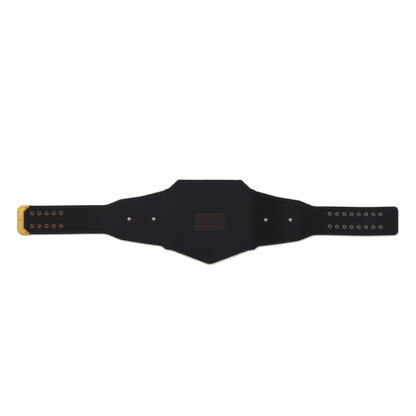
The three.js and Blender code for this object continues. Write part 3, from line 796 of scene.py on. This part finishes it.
def socket_snap(name, place):
    """Domed cap in front, clinched to a bowl-shaped socket with a rolled lip behind."""
    low, seat = -CLEARANCE, LEATHER + CLEARANCE
    lip = seat + SOCKET_HEIGHT
    return turned(name, place, TIP_RISE, [
        (0, low - SNAP_DOME, 0, 0),
        (0.40 * SNAP_CAP, low - SNAP_DOME, 4, 0),
        (0.84 * SNAP_CAP, low - 0.65 * SNAP_DOME, 4, 0.1),
        (SNAP_CAP, low - 0.2 * SNAP_DOME, 0.8, 0.4),
        (0.97 * SNAP_CAP, low + SEAT_GAP, 0.3, 0.8),
        (SNAP_SHANK, low + SEAT_GAP, 0, 1),
        (SNAP_SHANK, seat - SEAT_GAP, 0, 1),
        (SOCKET_RADIUS, seat - SEAT_GAP, 0.2, 1),
        (SOCKET_RADIUS, seat + 0.3 * SOCKET_HEIGHT, 0.6, 0.75),
        (0.87 * SOCKET_RADIUS, seat + 0.70 * SOCKET_HEIGHT, 1.2, 0.75),
        (0.84 * SOCKET_RADIUS, lip, 0.6, 0.35),
        (0.70 * SOCKET_RADIUS, lip, 1, 0.05),
        (0.58 * SOCKET_RADIUS, seat + 0.40 * SOCKET_HEIGHT, 1.2, 0),
        (0.46 * SOCKET_RADIUS, seat + 0.1 * SOCKET_HEIGHT, 0.8, 0.45),
        (0.37 * SOCKET_RADIUS, seat, 0.6, 0.9),
        (0.36 * SOCKET_RADIUS, seat - 0.60 * LEATHER, 0.4, 1),
        (0, seat - 0.65 * LEATHER, 0, 1),
    ])


def stud_snap(name, place):
    """Stud with a waisted neck in front, clinched to a rolled ring behind."""
    low, seat = -CLEARANCE, LEATHER + CLEARANCE
    crown = seat + RING_HEIGHT
    return turned(name, place, STUD_RISE, [
        (0, low - STUD_HEIGHT, 0, 0),
        (0.85 * STUD_RADIUS, low - STUD_HEIGHT, 1, 0),
        (STUD_RADIUS, low - 0.75 * STUD_HEIGHT, 1, 0),
        (0.80 * STUD_RADIUS, low - 0.35 * STUD_HEIGHT, 1.2, 0.4),
        (STUD_RADIUS, low - 0.12 * STUD_HEIGHT, 0.8, 0.5),
        (STUD_BASE, low - 0.05 * STUD_HEIGHT, 0.3, 0.3),
        (STUD_BASE, low + SEAT_GAP, 0, 0.5),
        (SNAP_SHANK, low + SEAT_GAP, 0, 1),
        (SNAP_SHANK, seat - SEAT_GAP, 0, 1),
        (RING_RADIUS, seat - SEAT_GAP, 0.2, 0.8),
        (0.95 * RING_RADIUS, seat + 0.65 * RING_HEIGHT, 0.8, 0.65),
        (0.75 * RING_RADIUS, crown, 1.4, 0),
        (0.58 * RING_RADIUS, crown, 0.8, 0.15),
        (0.41 * RING_RADIUS, seat, 0.6, 0.9),
        (0.38 * RING_RADIUS, seat - 0.55 * LEATHER, 0.4, 1),
        (0, seat - 0.60 * LEATHER, 0, 1),
    ])


def plate_screw(name, place):
    """Domed head on the back of a wing, with a shank into the side plate."""
    seat = LEATHER + CLEARANCE
    foot = PLATE_SKIN - SIDE_BASE - SEAT_GAP
    return turned(name, place, WING_RISE, [
        (0, foot, 0, 1),
        (SCREW_SHANK, foot, 0.3, 1),
        (SCREW_SHANK, seat - SEAT_GAP, 0, 1),
        (SCREW_HEAD, seat - SEAT_GAP, 0.2, 0.9),
        (SCREW_HEAD, seat + 0.2 * SCREW_DOME, 0.4, 0.4),
        (0.86 * SCREW_HEAD, seat + 0.6 * SCREW_DOME, 3, 0.1),
        (0.54 * SCREW_HEAD, seat + 0.92 * SCREW_DOME, 5, 0),
        (0.20 * SCREW_HEAD, seat + SCREW_DOME, 5, 0),
        (0, seat + SCREW_DOME, 0, 0),
    ])


def tip_rivet(name, place):
    """Small flat-headed rivet through both walls of the tip cap."""
    low = -2 * CLEARANCE - CAP_WALL
    seat = LEATHER - low
    return turned(name, place, TIP_RISE, [
        (0, low - RIVET_HEIGHT, 0, 0.1),
        (0.70 * RIVET_HEAD, low - RIVET_HEIGHT, 0.8, 0.1),
        (RIVET_HEAD, low + SEAT_GAP, 0.3, 0.7),
        (RIVET_SHANK, low + SEAT_GAP, 0, 1),
        (RIVET_SHANK, seat - SEAT_GAP, 0, 1),
        (RIVET_HEAD, seat - SEAT_GAP, 0.3, 0.7),
        (0.75 * RIVET_HEAD, seat + 0.85 * RIVET_HEIGHT, 1, 0.2),
        (0, seat + RIVET_HEIGHT, 0, 0.1),
    ])


def cap_end(reach, half, corner, until):
    """Points of a rounded strap end, from its upper side round to its lower side."""
    upper = [(until, half)]
    for k in range(3 * CORNER_STEPS + 1):
        angle = math.pi / 2 * (1 + k / (3 * CORNER_STEPS))
        x = -reach + corner * (1 + math.cos(angle))
        upper.append((x, half - corner * (1 - math.sin(angle))))
    return upper + [(x, -y) for x, y in reversed(upper)]


def folded_sheet(outline, ear):
    """The tip cap as a solid body, round at its folds and only slightly eased at its cut edges."""
    low = -CLEARANCE - CAP_WALL
    high = LEATHER - low
    angles = (22.5, 45, 67.5, 90)
    loops = [inset(outline, CAP_EDGE * (1 - math.cos(math.radians(a)))) for a in angles]
    bores = [
        ring((x, y - TIP_SWAY), RIVET_SHANK + CLEARANCE, SEAT_RING_SIDES) for x, y in RIVETS
    ]
    dots = grid(outline, CAP_GRID_STEP, 2 * CAP_EDGE)
    flat, faces = triangulated(outline, loops, dots, bores)
    at_band = smoothstep((CAP_BAND - EAR_FADE - (flat[:, 0] + TIP_REACH)) / BAND_FADE)
    at_ears = smoothstep((abs(flat[:, 1]) - EAR_FOLD) / EAR_FADE)
    before_ends = smoothstep((ear - flat[:, 0]) / (2 * EAR_FADE))
    at_fold = np.maximum(at_band, at_ears) * before_ends
    fallen = rounding(distance_to(outline, flat), CAP_EDGE)
    fallen *= CUT_EDGE + (1 - CUT_EDGE) * at_fold
    upper, lower = TIP_RISE + high - fallen, TIP_RISE + low + fallen
    return closed_body("tip_cap_gold", flat + (0, TIP_SWAY), faces, upper, lower)


def pocket_cutter(half):
    """The leather's end with its clearance, open towards the strap, to be cut out of the cap."""
    until = 2 * CAP_EAR - TIP_REACH
    corners = cap_end(TIP_REACH - CAP_WALL, half - CAP_WALL, CAP_CORNER - CAP_WALL, until)
    pocket = resampled(np.array(corners), CAP_GRID_STEP)
    flat, faces = triangulated(pocket, [], np.empty((0, 2)), [])
    upper = np.full(len(flat), TIP_RISE + LEATHER + CLEARANCE)
    lower = np.full(len(flat), TIP_RISE - CLEARANCE)
    return closed_body("pocket_cutter", flat + (0, TIP_SWAY), faces, upper, lower)


def tip_cap():
    """Sheet metal folded round the tip: two walls with ears, hollow between them."""
    half = STRAP_HALF + CLEARANCE + CAP_WALL
    ear, band = CAP_EAR - TIP_REACH, CAP_BAND - TIP_REACH
    corners = cap_end(TIP_REACH, half, CAP_CORNER, ear)
    corners += [(ear, EAR_BLUNT - half), (band, -CAP_THROAT)]
    corners += [(band, CAP_THROAT), (ear, half - EAR_BLUNT)]
    outline = resampled(np.array(corners), CAP_OUTLINE_STEP)
    cap = folded_sheet(outline, ear)
    cutter = pocket_cutter(half)
    cut = cap.modifiers.new("pocket", "BOOLEAN")
    cut.operation = "DIFFERENCE"
    cut.solver = "EXACT"
    cut.object = cutter
    shown = cap.evaluated_get(bpy.context.evaluated_depsgraph_get())
    hollowed = bpy.data.meshes.new_from_object(shown)
    cap.modifiers.clear()
    cap.data = hollowed
    hollowed.set_sharp_from_angle(angle=math.radians(CAP_SMOOTH))
    points = np.array([tuple(vertex.co) for vertex in hollowed.vertices])[:, :2]
    data = hollowed.attributes.new("edge", "FLOAT", "POINT").data
    edge = distance_to(outline + (0, TIP_SWAY), points - (MIDDLE_X, MIDDLE_Y))
    data.foreach_set("value", edge)
    bpy.data.objects.remove(cutter)
    return cap


class Tree:
    """Puts nodes in a node tree: values may be numbers, colours or the sockets of other nodes."""

    def __init__(self, tree):
        self.tree = tree

    def add(self, kind, values=(), **settings):
        made = self.tree.nodes.new(kind)
        for key, value in settings.items():
            setattr(made, key, value)
        for key, value in dict(values).items():
            self.feed(made.inputs[key], value)
        return made

    def feed(self, socket, value):
        if isinstance(value, bpy.types.NodeSocket):
            self.tree.links.new(value, socket)
        else:
            socket.default_value = value

    def maths(self, operation, first, second=0.0):
        made = self.add("ShaderNodeMath", {0: first, 1: second}, operation=operation)
        return made.outputs[0]

    def mix(self, share, first, second):
        made = self.add("ShaderNodeMix", {0: share, 6: first, 7: second}, data_type="RGBA")
        return made.outputs[2]

    def tint(self, colour, mask, strength, tone):
        """A colour turned towards a tone where a mask says so."""
        return self.mix(self.maths("MULTIPLY", mask, strength), colour, tone)

    def blend(self, value, low, high, to_low=0.0, to_high=1.0):
        """0 to 1, or two other values, as a value runs from low to high."""
        values = {"Value": value, "From Min": low, "From Max": high}
        values.update({"To Min": to_low, "To Max": to_high})
        return self.add("ShaderNodeMapRange", values).outputs[0]

    def noise(self, place, scale, detail):
        values = {"Vector": place, "Scale": scale, "Detail": detail}
        return self.add("ShaderNodeTexNoise", values).outputs[0]

    def mark(self, name):
        return self.add("ShaderNodeAttribute", attribute_name=name).outputs["Fac"]


def node_group(name, inputs, outputs):
    """A shader node group with named number inputs and outputs, its tree and its own sockets."""
    group = bpy.data.node_groups.new(name, "ShaderNodeTree")
    for socket, default in inputs.items():
        made = group.interface.new_socket(socket, in_out="INPUT", socket_type="NodeSocketFloat")
        made.default_value = default
    for socket in outputs:
        group.interface.new_socket(socket, in_out="OUTPUT", socket_type="NodeSocketFloat")
    tree = Tree(group)
    given = tree.add("NodeGroupInput").outputs
    result = tree.add("NodeGroupOutput")
    return tree, given, result


def surface_place(tree):
    return tree.add("ShaderNodeTexCoord").outputs["Object"]


def stretched(tree, across, along, tall):
    values = {"Vector": surface_place(tree), "Scale": (across, along, tall)}
    return tree.add("ShaderNodeMapping", values).outputs[0]


def grain_group():
    """Leather grain: small soft pebbles with fine creases between them."""
    numbers = {"Scale": 1100.0, "Fineness": 3000.0}
    tree, given, result = node_group("leather grain", numbers, ["Height", "Creases"])
    place = surface_place(tree)
    warp = tree.add("ShaderNodeTexNoise", {"Vector": place, "Scale": 240.0, "Detail": 3.0})
    shifted = tree.add("ShaderNodeVectorMath", {0: warp.outputs["Color"]}, operation="SCALE")
    shifted.inputs["Scale"].default_value = 0.0016
    moved = tree.add("ShaderNodeVectorMath", {0: place, 1: shifted.outputs[0]}, operation="ADD")
    cells = tree.add(
        "ShaderNodeTexVoronoi",
        {"Vector": moved.outputs[0], "Scale": given["Scale"], "Smoothness": 0.35},
        feature="SMOOTH_F1",
    )
    far = cells.outputs["Distance"]
    fine = tree.noise(place, given["Fineness"], detail=2.0)
    pebble = tree.maths("SUBTRACT", 1.0, tree.maths("MULTIPLY", far, far))
    height = tree.maths("ADD", pebble, tree.maths("MULTIPLY", fine, 0.3))
    tree.feed(result.inputs["Height"], height)
    tree.feed(result.inputs["Creases"], tree.blend(far, low=0.45, high=0.80))
    return tree.tree


def drift_group():
    """Slow, soft patches of tone, such as hide, handling and polish leave."""
    numbers = {"Scale": 12.0, "Detail": 4.0, "Contrast": 0.2}
    tree, given, result = node_group("tone drift", numbers, ["Tone"])
    values = {"Vector": surface_place(tree), "Scale": given["Scale"]}
    values.update({"Detail": given["Detail"], "Roughness": 0.55})
    noise = tree.add("ShaderNodeTexNoise", values)
    low = tree.maths("SUBTRACT", 0.5, given["Contrast"])
    high = tree.maths("ADD", 0.5, given["Contrast"])
    tree.feed(result.inputs["Tone"], tree.blend(noise.outputs[0], low, high))
    return tree.tree


def brushed_group():
    """Fine brushing lines that run across the belt, with broader bands among them."""
    tree, _, result = node_group("brushed lines", {}, ["Fine", "Broad"])
    fine = tree.noise(stretched(tree, 2600, 45, 60), scale=1.0, detail=3.0)
    broad = tree.noise(stretched(tree, 420, 14, 60), scale=1.0, detail=2.0)
    tree.feed(result.inputs["Fine"], fine)
    tree.feed(result.inputs["Broad"], tree.blend(broad, low=0.32, high=0.68))
    return tree.tree


def scuff_group():
    """Sparse fine scratches and specks from handling."""
    tree, given, result = node_group("scuffs", {"Amount": 0.5}, ["Scuff"])
    one = tree.noise(stretched(tree, 900, 60, 300), scale=1.0, detail=1.0)
    two = tree.noise(stretched(tree, 70, 800, 300), scale=1.0, detail=1.0)
    lines = tree.maths("MAXIMUM", one, two)
    level = tree.blend(given["Amount"], low=0.0, high=1.0, to_low=0.80, to_high=0.62)
    over = tree.maths("SUBTRACT", lines, level)
    tree.feed(result.inputs["Scuff"], tree.blend(over, low=0.0, high=0.06))
    return tree.tree


GROUPS = {
    "grain": grain_group(),
    "drift": drift_group(),
    "brushed": brushed_group(),
    "scuff": scuff_group(),
}


def grouped(tree, group, **values):
    made = tree.add("ShaderNodeGroup", node_tree=GROUPS[group])
    for key, value in values.items():
        tree.feed(made.inputs[key], value)
    return made.outputs


def new_material(name, preview, **constants):
    """A material with one Principled shader, whose even values are set on its own sockets."""
    material = bpy.data.materials.new(name)
    material.use_nodes = True
    material.diffuse_color = (*preview, 1)
    shader = material.node_tree.nodes["Principled BSDF"]
    for socket, value in constants.items():
        shader.inputs[socket.replace("_", " ")].default_value = value
    return material, Tree(material.node_tree), shader


def bumped(tree, shader, height, strength, distance):
    values = {"Height": height, "Strength": strength, "Distance": distance}
    tree.feed(shader.inputs["Normal"], tree.add("ShaderNodeBump", values).outputs[0])


# Tones of the leather, among them a painted shade for the crease line's groove and a painted highlight
# for its lips, and where they fade by the distance from its edge or from the crease line
HIDE_DARK = (0.0058, 0.0053, 0.0080, 1)
HIDE_LIGHT = (0.0076, 0.0070, 0.0104, 1)
HIDE_MOTTLE = (0.0100, 0.0092, 0.0128, 1)
HIDE_CREASE_TONE_AND_SHADE = (0.0020, 0.0019, 0.0024, 1)
HIDE_SCUFF = (0.0300, 0.0280, 0.0300, 1)
HIDE_RIM = (0.0009, 0.0008, 0.0012, 1)
CREASE_PAINTED_SHADE = (0.0018, 0.0016, 0.0020, 1)
LIP_PAINTED_HIGHLIGHT = (0.0300, 0.0270, 0.0360, 1)
RIM_FADE = (0.0056, 0.0034)
LINE_FADE = (0.0007, 0.0001)
LINE_LIP = 0.0011
LIP_FADE = (0.0008, 0.0)
GRAIN_FADE = (0.0020, 0.0040)

# What is toned by the marks on the leather's points: (mark, strength, tone). The first two rows are
# painted shade, along the belt and in the dimples over the posts; the stamp and its rules keep their own
# tones.
HIDE_MARKS = [
    ("painted_shade", 0.80, (0.0022, 0.0012, 0.0016, 1)),
    ("dimple", 0.85, (0.0012, 0.0010, 0.0014, 1)),
    ("stamp", 0.38, (0.0095, 0.0058, 0.0076, 1)),
    ("rule", 0.9, (0.0480, 0.0310, 0.0350, 1)),
]


def black_leather():
    preview = (0.016, 0.015, 0.019)
    material, tree, shader = new_material("black leather", preview, Specular_IOR_Level=0.10)
    grain = grouped(tree, "grain", Scale=1050.0, Fineness=2800.0)
    drift = grouped(tree, "drift", Scale=7.0, Detail=5.0, Contrast=0.16)["Tone"]
    mottle = grouped(tree, "drift", Scale=160.0, Detail=3.0, Contrast=0.22)["Tone"]
    scuff = grouped(tree, "scuff", Amount=0.30)["Scuff"]
    edge = tree.mark("edge")
    colour = tree.mix(drift, HIDE_DARK, HIDE_LIGHT)
    colour = tree.tint(colour, mottle, 0.30, HIDE_MOTTLE)
    for mark, strength, tone in HIDE_MARKS:
        colour = tree.tint(colour, tree.mark(mark), strength, tone)
    # Darker creases between the grain's pebbles, partly the grain's own tone and partly painted shade
    colour = tree.tint(colour, grain["Creases"], 0.5, HIDE_CREASE_TONE_AND_SHADE)
    colour = tree.tint(colour, scuff, 0.25, HIDE_SCUFF)
    rim = tree.blend(edge, *RIM_FADE)
    colour = tree.mix(rim, colour, HIDE_RIM)
    # Painted shade down the crease line's groove and a painted highlight along its lips
    away = tree.maths("ABSOLUTE", tree.maths("SUBTRACT", edge, CREASE_INSET))
    lip = tree.maths("ABSOLUTE", tree.maths("SUBTRACT", away, LINE_LIP))
    colour = tree.tint(colour, tree.blend(away, *LINE_FADE), 0.6, CREASE_PAINTED_SHADE)
    colour = tree.tint(colour, tree.blend(lip, *LIP_FADE), 0.60, LIP_PAINTED_HIGHLIGHT)
    tree.feed(shader.inputs["Base Color"], colour)
    rough = tree.blend(mottle, low=0, high=1, to_low=0.52, to_high=0.60)
    rough = tree.maths("ADD", rough, tree.maths("MULTIPLY", rim, 0.15))
    tree.feed(shader.inputs["Roughness"], rough)
    height = tree.maths("MULTIPLY", grain["Height"], tree.blend(edge, *GRAIN_FADE))
    bumped(tree, shader, height, strength=0.30, distance=0.0002)
    return material


# Golds: (dark, light, ground where hollow, roughness, depth of the brushing)
GOLDS = {
    "brushed tip gold": (
        (0.38, 0.215, 0.034, 1), (0.62, 0.40, 0.115, 1), (0.38, 0.215, 0.034, 1), 0.46, 0.35
    ),
    "satin plate gold": (
        (0.60, 0.37, 0.11, 1), (0.76, 0.50, 0.18, 1), (0.24, 0.13, 0.035, 1), 0.32, 0.15
    ),
}
GOLD_SCUFF = (0.90, 0.66, 0.32, 1)
# Where the painted shade along the cap's folds fades, by the distance from its edge
GOLD_FOLD_SHADE = (0.0075, 0.0005)

# Aged metals: (bright, dull, stain, roughness)
METALS = {
    "rivet bronze": ((0.25, 0.14, 0.05, 1), (0.14, 0.075, 0.03, 1), (0.07, 0.038, 0.016, 1), 0.45),
    "antique brass": ((0.35, 0.235, 0.148, 1), (0.25, 0.16, 0.097, 1), (0.03, 0.015, 0.011, 1), 0.38),
    "aged nickel": ((0.215, 0.194, 0.203, 1), (0.15, 0.133, 0.142, 1), (0.02, 0.018, 0.02, 1), 0.40),
    "polished nickel": ((0.45, 0.38, 0.38, 1), (0.32, 0.26, 0.26, 1), (0.03, 0.025, 0.028, 1), 0.32),
}
FLOOR_TONES = ((0.88, 0.88, 0.88, 1), (0.90, 0.90, 0.90, 1))


def brushed_gold(name):
    """Gold with brushing lines, patches of tone, painted shade along the cap's rounded folds, and a
    darker ground where hollow.
    """
    dark, light, deep, rough, streaks = GOLDS[name]
    material, tree, shader = new_material(name, light[:3], Metallic=1.0)
    lines = grouped(tree, "brushed")
    drift = grouped(tree, "drift", Scale=45.0, Detail=3.0, Contrast=0.22)["Tone"]
    scuff = grouped(tree, "scuff", Amount=0.2)["Scuff"]
    banded = tree.maths("MULTIPLY", lines["Broad"], 0.45)
    tone = tree.maths("ADD", banded, tree.maths("MULTIPLY", drift, 0.55))
    colour = tree.mix(tone, dark, light)
    # Painted shade along the tip cap's rounded folds, in the dark tone
    fold_shade = tree.blend(tree.mark("edge"), *GOLD_FOLD_SHADE)
    colour = tree.tint(colour, fold_shade, 0.75, dark)
    colour = tree.tint(colour, tree.mark("hollow"), 0.55, deep)
    colour = tree.tint(colour, scuff, 0.15, GOLD_SCUFF)
    tree.feed(shader.inputs["Base Color"], colour)
    worn = tree.blend(lines["Fine"], low=0.3, high=0.7, to_low=rough - 0.06, to_high=rough + 0.08)
    tree.feed(shader.inputs["Roughness"], worn)
    height = tree.maths("SUBTRACT", lines["Fine"], tree.maths("MULTIPLY", scuff, 0.4))
    bumped(tree, shader, height, strength=streaks, distance=0.0001)
    return material


def aged_metal(name):
    """Plated metal with a darker tarnish in its corners and in soft patches."""
    bright, dull, stain, rough = METALS[name]
    material, tree, shader = new_material(name, bright[:3], Metallic=1.0)
    patches = grouped(tree, "drift", Scale=260.0, Detail=4.0, Contrast=0.18)["Tone"]
    scuff = grouped(tree, "scuff", Amount=0.6)["Scuff"]
    tarnish = tree.mark("tarnish")
    colour = tree.mix(patches, bright, dull)
    stained = tree.maths("MINIMUM", tree.maths("MULTIPLY", tarnish, 1.05), 1.0)
    colour = tree.mix(stained, colour, stain)
    colour = tree.tint(colour, scuff, 0.2, bright)
    tree.feed(shader.inputs["Base Color"], colour)
    worn = tree.blend(patches, low=0, high=1, to_low=rough, to_high=rough + 0.14)
    worn = tree.maths("ADD", worn, tree.maths("MULTIPLY", tarnish, 0.2))
    tree.feed(shader.inputs["Roughness"], worn)
    bumped(tree, shader, patches, strength=0.15, distance=0.0001)
    return material


def plain_floor():
    even = {"Roughness": 0.9, "Specular_IOR_Level": 0.1, "Emission_Strength": 0.15}
    material, tree, shader = new_material("pale table", (0.9, 0.9, 0.9), **even)
    drift = grouped(tree, "drift", Scale=3.0, Detail=2.0, Contrast=0.3)["Tone"]
    tree.feed(shader.inputs["Base Color"], tree.mix(drift, *FLOOR_TONES))
    return material


def build_belt():
    leather = black_leather()
    tip_gold, plate_gold = [brushed_gold(name) for name in GOLDS]
    bronze, brass, silver, polished = [aged_metal(name) for name in METALS]

    dress(leather_strap(), leather, "strap")
    dress(tip_cap(), tip_gold, "tip_cap")
    for k, place in enumerate(RIVETS, 1):
        dress(tip_rivet(f"rivet_{k}", place), bronze, f"tip_rivet_{k}")
    for k, place in enumerate(SOCKETS, 1):
        dress(socket_snap(f"brass_socket_{k}", place), brass, f"socket_snap_{k}")
    for k, place in enumerate(STUDS, 1):
        dress(stud_snap(f"nickel_stud_{k}", place), silver, f"stud_snap_{k}")

    main = cast_plate(
        "main_plate_gold", main_outline(), MAIN_BASE, MAIN_RELIEF, MAIN_RIM, MAIN_ROUNDEL,
        main_posts(), [], False, np.array([0, 0]), MAIN_RISE - CLEARANCE,
    )
    dress(main, plate_gold, "main_plate")
    bores = [(along - SIDE_MIDDLE, MIDDLE_LIFT) for along in SCREWS_ALONG]
    for name, side in SIDES.items():
        shift = np.array([side * SIDE_MIDDLE, SIDE_SWAY[name]])
        plate = cast_plate(
            f"side_plate_gold_{name}", side_outline(), SIDE_BASE, SIDE_RELIEF, SIDE_RIM, SIDE_ROUNDEL,
            side_posts(), bores, side < 0, shift, WING_RISE - CLEARANCE,
        )
        dress(plate, plate_gold, f"side_plate_{name}")
        for k, place in enumerate(SCREWS[name], 1):
            screw = plate_screw(f"nickel_screw_{name}_{k}", place)
            dress(screw, polished, f"plate_screw_{name}_{k}")


def soft_light(name, place, size, power):
    lamp = bpy.data.lights.new(name, "AREA")
    lamp.shape = "DISK"
    lamp.size = size
    lamp.energy = power
    lamp.color = LIGHT_TONE
    holder = bpy.data.objects.new(name, lamp)
    bpy.context.scene.collection.objects.link(holder)
    holder.location = place
    holder.rotation_euler = Vector(place).to_track_quat("Z", "Y").to_euler()


def studio():
    half = FLOOR_HALF
    floor_mesh = bpy.data.meshes.new("table_top")
    corners = [(-half, -half, 0), (half, -half, 0), (half, half, 0), (-half, half, 0)]
    floor_mesh.from_pydata(corners, [], [(0, 1, 2, 3)])
    floor_mesh.materials.append(plain_floor())
    floor = bpy.data.objects.new("table_top", floor_mesh)
    bpy.context.scene.collection.objects.link(floor)

    world = bpy.data.worlds.new("studio")
    world.use_nodes = True
    sky = world.node_tree.nodes["Background"]
    sky.inputs["Color"].default_value = SKY_TONE
    sky.inputs["Strength"].default_value = SKY_STRENGTH
    bpy.context.scene.world = world

    soft_light("key light", *KEY_LIGHT)
    soft_light("fill light", *FILL_LIGHT)

    distance = PIXEL * PHOTO_WIDTH * LENS / SENSOR
    centre = PHOTO_WIDTH / 2
    camera_data = bpy.data.cameras.new("photo camera")
    camera_data.lens = LENS
    camera_data.sensor_width = SENSOR
    camera_data.clip_end = VIEW_REACH
    camera = bpy.data.objects.new("photo camera", camera_data)
    bpy.context.scene.collection.objects.link(camera)
    camera.location = (
        MIDDLE_X + (centre - PHOTO_BELT_MIDDLE[0]) * PIXEL,
        MIDDLE_Y + (PHOTO_BELT_MIDDLE[1] - centre) * PIXEL,
        distance + MAIN_RISE,
    )
    bpy.context.scene.camera = camera
    bpy.context.scene.view_settings.view_transform = "Standard"


build_belt()
studio()
